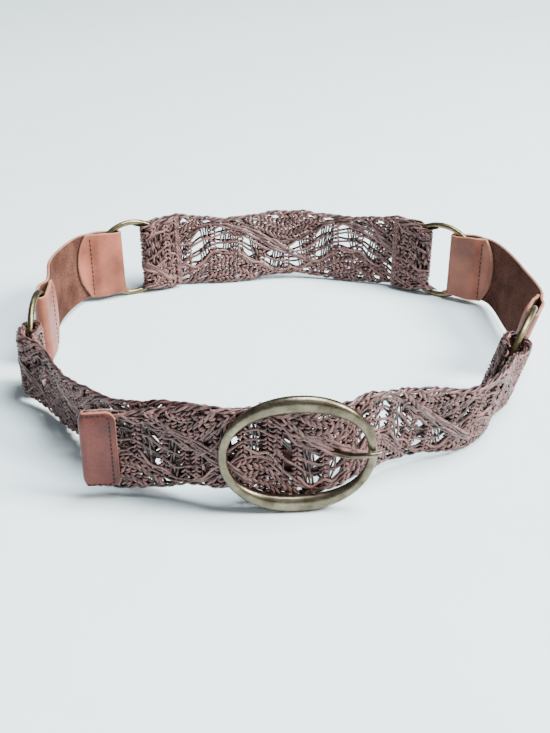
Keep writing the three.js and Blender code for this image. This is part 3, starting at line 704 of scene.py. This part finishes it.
# A strip of leather with rounded edges on a sheet map. Kind 0 is grain, 1 suede and 2 the cut edge.
def leatherStrip(sheet, nominal, thickness, low=-0.5, high=0.5, moon=0, corner=0, pinch=0):
    endLength, step, facets = 2.0, 1.2, 3
    start, stop = moon, sheet["length"] - moon
    ease = endLength * np.linspace(0, 1, 8) ** 1.5
    inner = np.arange(start + endLength, stop - endLength, step)
    u = np.concatenate([start + ease[:-1], inner, stop - ease[::-1][1:]])
    across = np.linspace(-1, 1, 21)
    across = np.sign(across) * (1 - (1 - np.abs(across)) ** 1.35)
    middle, halfWidth = (low + high) / 2 * nominal, (high - low) / 2 * nominal
    rounding = thickness * 0.3
    loops = []
    for position in u:
        fromEnd = min(position - start, stop - position)
        inset = 0
        if fromEnd < corner:
            inset = corner - math.sqrt(max(corner ** 2 - (corner - fromEnd) ** 2, 0))
        flatHalf = halfWidth - inset - rounding
        loop = []
        for side in (1, -1):
            loop += [(position, middle + side * flatHalf * v, side * thickness / 2) for v in across]
            for k in range(1, facets):
                turn = math.pi * k / facets
                y = middle + side * (flatHalf + rounding * math.sin(turn))
                loop.append((position, y, side * thickness / 2 * math.cos(turn)))
        loops.append(loop)
    loops = np.array(loops)
    rows, sides = loops.shape[:2]
    shares = 2 * loops[..., 1] / nominal
    # The half moons reach out beyond the seams.
    tipShare = np.clip(1 - (u - start) / endLength, 0, 1) - np.clip(1 - (stop - u) / endLength, 0, 1)
    loops[..., 0] -= moon * np.clip(1 - shares ** 2, 0, 1) * tipShare[:, None]
    loops[..., 2] -= pinched(shares, pinch)
    points = onSheet(sheet, loops[..., 0], loops[..., 1], loops[..., 2], nominal)
    n = len(across)
    sueded = range(n + facets - 1, 2 * n + facets - 2)
    faces, kinds = [], []
    for i in range(rows - 1):
        for j in range(sides):
            k = (j + 1) % sides
            faces.append((i * sides + j, (i + 1) * sides + j, (i + 1) * sides + k, i * sides + k))
            kinds.append(0 if j < n - 1 else 1 if j in sueded else 2)
    for base, order in ((0, 1), ((rows - 1) * sides, -1)):
        top = [base + j for j in range(n)]
        bottom = [base + n + facets - 1 + j for j in range(n)][::-1]
        ends = [(top[j], top[j + 1], bottom[j + 1], bottom[j]) for j in range(n - 1)]
        ends.append(tuple(base + n - 1 + k for k in range(facets + 1)))
        ends.append(tuple(base + 2 * n + facets - 2 + k for k in range(facets)) + (base,))
        faces += [face[::order] for face in ends]
        kinds += [2] * len(ends)
    return points.reshape(-1, 3), faces, kinds


# A stitch dips into the leather at both ends.
stitch = {"cord": (0.46, 0.34), "sunk": 0.22, "rise": 0.34}


def stitchRow(sheet, nominal, path, thickness, length=2.3, gap=0.9, pinch=0):
    path = np.array(path, float)
    steps = np.concatenate([[0], np.cumsum(np.hypot(np.diff(path[:, 0]), np.diff(path[:, 1])))])
    bundle = StrandBundle()
    start = 0.8
    while start + length < steps[-1]:
        s = np.linspace(start, start + length, 6)
        u, y = np.interp(s, steps, path[:, 0]), np.interp(s, steps, path[:, 1])
        h = thickness / 2 - stitch["sunk"] + stitch["rise"] * np.sin(math.pi * (s - start) / length)
        bundle.strand(u, y, h - pinched(2 * y / nominal, pinch), stitch["cord"], 0.5, 6, 1)
        start += length + gap
    return bundle.placed(sheet, nominal)


def joined(parts):
    # Each part is its points, its faces and, where it has several materials, the kinds of its faces.
    points, faces, kinds, count = [], [], [], 0
    for partPoints, partFaces, *partKinds in parts:
        points.append(partPoints)
        faces += [tuple(v + count for v in face) for face in partFaces]
        kinds += partKinds[0] if partKinds else [0] * len(partFaces)
        count += len(partPoints)
    return np.concatenate(points), faces, kinds


# Path rows are distance, out, how far the row follows the wire, and which way that is.
def foldRows(fold, end=None):
    rows = foldPath(fold)
    if end is None:
        return [(distance, out, pull, 1) for distance, out, pull in rows]
    return [(end - distance, out, pull, -1) for distance, out, pull in reversed(rows)]


def settled(fold):
    # Where the strap lies flat again behind a ring.
    return rimCentreRadius + fold["settle"] + 3


def straightRows(start, stop):
    count = max(int((stop - start) / 6), 2)
    return [(d, 0, 0, 1) for d in np.linspace(start, stop, count)]


# The braids. Each is a run through its stations, with folded ends where it holds a ring.
backRun = strapRun(
    ringStations("back_right_ring", 1, backFold) + strapStations(backStations)
    + ringStations("back_left_ring", -1, backFold)[::-1])
backSheet = sheetMap(
    backRun,
    foldRows(backFold) + straightRows(settled(backFold), backRun["length"] - settled(backFold))
    + foldRows(backFold, backRun["length"]),
    backFold, backFold, wave=(backRun["length"] / 2, braid["backWave"]))
backBraid = braidMesh(
    "back_braid_strands", backSheet, uOfDistance(backSheet, backRun["length"] / 2), braid["backWave"])
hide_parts("back_braid")

rimReach = buckle["width"] / 2 - buckle["sideWidth"] / 2
tailBehindRim = -(buckle["sideDepth"] / 2 + 2 * seatGap + braid["thickness"] / 2)
eyeWire = buckle["prongWire"] * 0.8
eyeRadius = buckle["barWire"] / 2 + wireClearance + eyeWire / 2
tailOverBar = -buckle["barSetBack"] + eyeRadius + eyeWire / 2 + seatGap + braid["thickness"] / 2
strapBehindTail = tailBehindRim - braid["thickness"] - seatGap
wide = braid["width"]

rightRun = strapRun(
    strapStations(tailStations) + [
        buckleStation(-rimReach, buckle["rise"], tailBehindRim, wide * 0.97),
        buckleStation(-rimReach / 2, 0, tailOverBar, wide),
        buckleStation(buckle["barShift"], -buckle["sag"], tailOverBar, wide),
        buckleStation(rimReach / 2, -buckle["sag"] * 0.8, tailOverBar - buckle["standOff"] / 4, wide),
        buckleStation(rimReach, buckle["rise"] / 2, tailBehindRim - buckle["standOff"], wide * 0.95),
    ] + strapStations(rightBraidStations) + ringStations("right_ring", -1, rightFold)[::-1])
barPoint = placeIn(buckleFrame, buckle["barShift"], 0, tailOverBar)
atBar = rightRun["distance"][np.argmin(np.linalg.norm(rightRun["points"] - barPoint, axis=1))]
crestRight = atBar + braid["frontWave"] * 0.13
rightSheet = sheetMap(
    rightRun,
    straightRows(cap["thickness"] + 1.5, rightRun["length"] - settled(rightFold))
    + foldRows(rightFold, rightRun["length"]),
    None, rightFold, wave=(crestRight, braid["frontWave"]))
rightBraid = braidMesh(
    "right_braid_strands", rightSheet, uOfDistance(rightSheet, crestRight), braid["frontWave"])
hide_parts("right_braid")

leftRun = strapRun(
    ringStations("left_ring", 1, leftFold) + strapStations(leftBraidStations) + [
        buckleStation(-rimReach, buckle["rise"], strapBehindTail, wide * 0.92),
        buckleStation(-rimReach / 2, buckle["rise"] / 2, -buckle["barSetBack"], wide * 0.85),
        buckleStation(buckle["barShift"], 0, -buckle["barSetBack"], wide * 0.85),
    ])
leftLast = leftRun["length"] - eyeRadius - eyeWire / 2 - 2 * seatGap
leftSheet = sheetMap(
    leftRun, foldRows(leftFold) + straightRows(settled(leftFold), leftLast),
    leftFold, None, wave=(leftRun["length"], braid["frontWave"]))
leftBraid = braidMesh("left_braid_strands", leftSheet, uOfDistance(leftSheet, leftLast), braid["frontWave"])
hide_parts("left_braid")
print("braids made")

linkMaterials = [grainLeather, suedeLeather, rawEdge]


def addLink(name, start, stations, end):
    run = strapRun(
        ringStations(start, 1, linkFold) + strapStations(stations, link["width"])
        + ringStations(end, -1, linkFold)[::-1])
    reach = linkFold["seamReach"]
    sheet = sheetMap(
        run,
        foldRows(linkFold) + straightRows(reach + 3, run["length"] - reach - 3)
        + foldRows(linkFold, run["length"]),
        linkFold, linkFold)
    strip = leatherStrip(sheet, link["width"], link["thickness"], moon=link["moonReach"])
    made = makeObject(name + "_leather", *strip, linkMaterials)
    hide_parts(name)
    half = link["width"] / 2 - 1.2
    tip = link["moonReach"] + 2.6
    seams = [uOfDistance(sheet, reach), uOfDistance(sheet, run["length"] - reach)]
    rows = []
    for at in [tip, sheet["length"] - tip] + seams:
        rows.append(stitchRow(sheet, link["width"], [(at, -half), (at, half)], link["thickness"]))
    thread = makeObject(name + "_stitches", *joined(rows), [threadDark])


addLink("left_link", "back_left_ring", leftLinkStations, "left_ring")
addLink("right_link", "right_ring", rightLinkStations, "back_right_ring")
print("links made")


# Rows of a sheet that doubles round one turn, as the cap and the chape do.
def sleeveRows(turnCentre, middle, reach, direction, nose=1):
    rows = [(turnCentre + direction * reach, -middle, 0, 1)]
    for angle in range(-90, 91, 15):
        turn = math.radians(angle)
        rows.append((turnCentre - direction * nose * middle * math.cos(turn), middle * math.sin(turn), 0, 1))
    rows.append((turnCentre + direction * reach, middle, 0, 1))
    return rows[::direction]


capMiddle = braid["thickness"] / 2 + 2 * seatGap + cap["thickness"] / 2
capTurn = capMiddle * 0.55
capPinch = capMiddle - cap["thickness"] / 2 - 0.4
capSheet = sheetMap(
    rightRun, sleeveRows(capTurn, capMiddle, cap["length"] - capTurn, 1, 0.45), width=cap["width"], smooth=3)
capMaterials = [capLeather, suedeLeather, rawEdge]
capStrip = leatherStrip(capSheet, cap["width"], cap["thickness"], corner=cap["corner"], pinch=capPinch)
capPiece = makeObject("tail_tip_leather", *capStrip, capMaterials)
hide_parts("tail_tip")
capHalf = cap["width"] / 2 - 1.5
capRows = []
for start, direction in ((0, 1), (capSheet["length"], -1)):
    inner = start + direction * (capSheet["length"] / 2 - 2.4)
    near = start + direction * 3.2
    bend = start + direction * 5.5
    path = [
        (inner, capHalf), (bend, capHalf), (near, capHalf - 1.6),
        (near, 1.6 - capHalf), (bend, -capHalf), (inner, -capHalf),
    ]
    capRows.append(stitchRow(capSheet, cap["width"], path, cap["thickness"], 2.0, 0.7, capPinch))
capThread = makeObject("tail_tip_stitches", *joined(capRows), [threadDark])

chapeMiddle = buckle["barWire"] / 2 + wireClearance + chape["thickness"] / 2
chapeRows = sleeveRows(leftRun["length"], chapeMiddle, chape["reach"] - 1, -1)
chapeSheet = sheetMap(leftRun, chapeRows, width=chape["width"], smooth=3)
slotShare = buckle["prongWire"] * 2.2 / chape["width"] / 2
chapeParts = []
for low, high in ((-0.5, -slotShare), (slotShare, 0.5)):
    chapeParts.append(leatherStrip(chapeSheet, chape["width"], chape["thickness"], low, high))
chapePiece = makeObject("buckle_chape_leather", *joined(chapeParts), capMaterials)
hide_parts("buckle_chape")
print("cap and chape made")


def roundWire(radius, wire, turns, sides, spot):
    loops = []
    for i in range(turns):
        turn = i / turns * 2 * math.pi
        loop = []
        for j in range(sides):
            across = j / sides * 2 * math.pi
            reach = radius + wire / 2 * math.cos(across)
            loop.append(spot(reach * math.cos(turn), reach * math.sin(turn), wire / 2 * math.sin(across)))
        loops.append(loop)
    return loft(loops, True)


for name, place in rings.items():
    hoopWire = roundWire(rimCentreRadius, ring["wire"], 112, 20, lambda x, y, z: placeIn(place, x, y, z))
    hoopPiece = makeObject(name + "_brass", *joined([hoopWire]), [antiqueBrass])
    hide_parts(name)


def rimLoop(turn):
    sides = 24
    power = 2 / buckle["fullness"]
    bend = lambda value: math.copysign(abs(value) ** power, value)
    swell = abs(math.sin(turn)) ** 3
    halfWidth = (buckle["sideWidth"] + (buckle["topWidth"] - buckle["sideWidth"]) * swell) / 2
    halfDepth = (buckle["sideDepth"] + (buckle["topDepth"] - buckle["sideDepth"]) * swell) / 2
    across = (buckle["width"] - buckle["sideWidth"]) / 2
    high = (buckle["height"] - buckle["topWidth"]) / 2
    x, y = across * bend(math.cos(turn)), high * bend(math.sin(turn))
    normal = np.array([
        math.copysign(abs(x / across) ** (buckle["fullness"] - 1), x) / across,
        math.copysign(abs(y / high) ** (buckle["fullness"] - 1), y) / high])
    normal /= np.linalg.norm(normal)
    loop = []
    for j in range(sides):
        angle = j / sides * 2 * math.pi
        reach = halfWidth * math.cos(angle)
        rimX, rimY = x + normal[0] * reach, y + normal[1] * reach
        loop.append(placeIn(buckleFrame, rimX, rimY, halfDepth * math.sin(angle)))
    return loop


def taperedWire(points, wires):
    sides = 16
    centres = curvePoints([np.array(p, float) for p in points], 8)
    slopes = np.gradient(centres, axis=0)
    slopes /= np.linalg.norm(slopes, axis=1)[:, None]
    loops = []
    helper = np.array([1.0, 0, 0]) if abs(slopes[len(slopes) // 2][1]) > 0.7 else np.array([0, 1.0, 0])
    for i, (centre, slope) in enumerate(zip(centres, slopes)):
        first = np.cross(helper, slope)
        first /= np.linalg.norm(first)
        second = np.cross(first, slope)
        share = i / (len(centres) - 1) * (len(wires) - 1)
        radius = np.interp(share, range(len(wires)), wires) / 2
        loop = []
        for j in range(sides):
            angle = j / sides * 2 * math.pi
            x, y, z = centre + first * radius * math.cos(angle) + second * radius * math.sin(angle)
            loop.append(placeIn(buckleFrame, x, y, z))
        loops.append(loop)
    return loft(loops, False)


rimTurns = 144
rim = loft([rimLoop((i + 0.5) / rimTurns * 2 * math.pi) for i in range(rimTurns)], True)
shift, back = buckle["barShift"], -buckle["barSetBack"]
legTop = buckle["height"] / 2 - buckle["topWidth"] / 2
straight = chape["width"] / 2 + 0.5
# The bar is straight inside the chape, and both its legs come forward to the rim. Rows are up and out.
legTable = [
    (legTop - 2, -buckle["topDepth"] * 0.2), (legTop - 3.2, -buckle["topDepth"] * 0.85),
    (straight + 2.2, back), (straight, back),
]
barTable = [(shift, up, out) for up, out in legTable] + [(shift, 0, back)]
barTable += [(shift, -up, out) for up, out in reversed(legTable)]
bar = taperedWire(barTable, [buckle["barWire"]] * 2)
bucklePiece = makeObject("buckle_frame_brass", *joined([rim, bar]), [buckleBrass])
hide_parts("buckle_frame")

overRim = buckle["sideDepth"] / 2 + seatGap + buckle["prongWire"] / 2
eyeLow, prongSpan = -4.4, rimReach - shift
# Along, up and out, from the eye to the tip on the rim.
prongTable = [
    (shift + eyeRadius, eyeLow, back), (shift + eyeRadius + 4, eyeLow, back + 1.2),
    (shift + 0.45 * prongSpan, eyeLow, back + 4.4), (shift + 0.68 * prongSpan, -2.2, overRim - 5),
    (rimReach - 4, 1.1, overRim - 0.1), (rimReach + 1, 1.8, overRim + 0.2),
    (rimReach + buckle["sideWidth"] / 2 + 1.6, 2, overRim - 1.2),
]
thick = buckle["prongWire"]
shaft = taperedWire(prongTable, [thick, thick, thick, thick * 0.9, thick * 0.6])
eye = roundWire(
    eyeRadius, eyeWire, 40, 14, lambda x, y, z: placeIn(buckleFrame, shift + x, eyeLow + z, back - y))
prongPiece = makeObject("buckle_prong_brass", *joined([shaft, eye]), [buckleBrass])
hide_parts("buckle_prong")
print("rings and buckle made")

# Floor, lights and camera. Metres.
studio = {
    "halfWidth": 6, "floor": "#e3f2f5",
    "lights": {
        "key": {"at": (2.4, -0.5, 2.0), "to": (0, 0, 0.02), "size": 1.2, "power": 300, "color": "#fffaf4"},
        "front": {"at": (0.9, -1.6, 1.2), "to": (0, 0, 0.02), "size": 0.8, "power": 4, "color": "#f3f7ff"},
        "top": {"at": (0.8, -0.1, 2.6), "to": (0, 0, 0), "size": 1.4, "power": 190, "color": "#eef9ff"},
    },
    "world": "#dfe8f2", "worldStrength": 0.3,
}

half = studio["halfWidth"]
floorMesh = bpy.data.meshes.new("floor")
floorCorners = [(-half, -half, 0), (half, -half, 0), (half, half, 0), (-half, half, 0)]
floorMesh.from_pydata(floorCorners, [], [(0, 1, 2, 3)])
floorMesh.materials.append(floorMaterial("Matt painted floor", studio["floor"], 0.6))
floor = bpy.data.objects.new("floor", floorMesh)
bpy.context.scene.collection.objects.link(floor)

for name, light in studio["lights"].items():
    data = bpy.data.lights.new(name, "AREA")
    data.shape = "DISK"
    data.size = light["size"]
    data.energy = light["power"]
    data.color = linear(light["color"])[:3]
    lamp = bpy.data.objects.new(name, data)
    lamp.location = light["at"]
    lamp.rotation_euler = (Vector(light["to"]) - Vector(light["at"])).to_track_quat("-Z", "Y").to_euler()
    bpy.context.scene.collection.objects.link(lamp)
world = bpy.data.worlds.new("studio")
world.use_nodes = True
background = world.node_tree.nodes["Background"]
background.inputs["Color"].default_value = linear(studio["world"])
background.inputs["Strength"].default_value = studio["worldStrength"]
bpy.context.scene.world = world

# The camera fitted to the loop: degrees down from level, and millimetres from the loop's centre.
cameraSetup = {"focalPixels": 1150, "tallPixels": 733, "pitch": 28, "distance": 730}
pitch = math.radians(cameraSetup["pitch"])
cameraData = bpy.data.cameras.new("camera")
cameraData.lens = cameraSetup["focalPixels"] * cameraData.sensor_width / cameraSetup["tallPixels"]
camera = bpy.data.objects.new("camera", cameraData)
offset = np.array([0, -math.cos(pitch), math.sin(pitch)]) * cameraSetup["distance"]
camera.location = (offset + frameShift) / 1000
camera.rotation_euler = (math.pi / 2 - pitch, 0, 0)
bpy.context.scene.collection.objects.link(camera)
bpy.context.scene.camera = camera
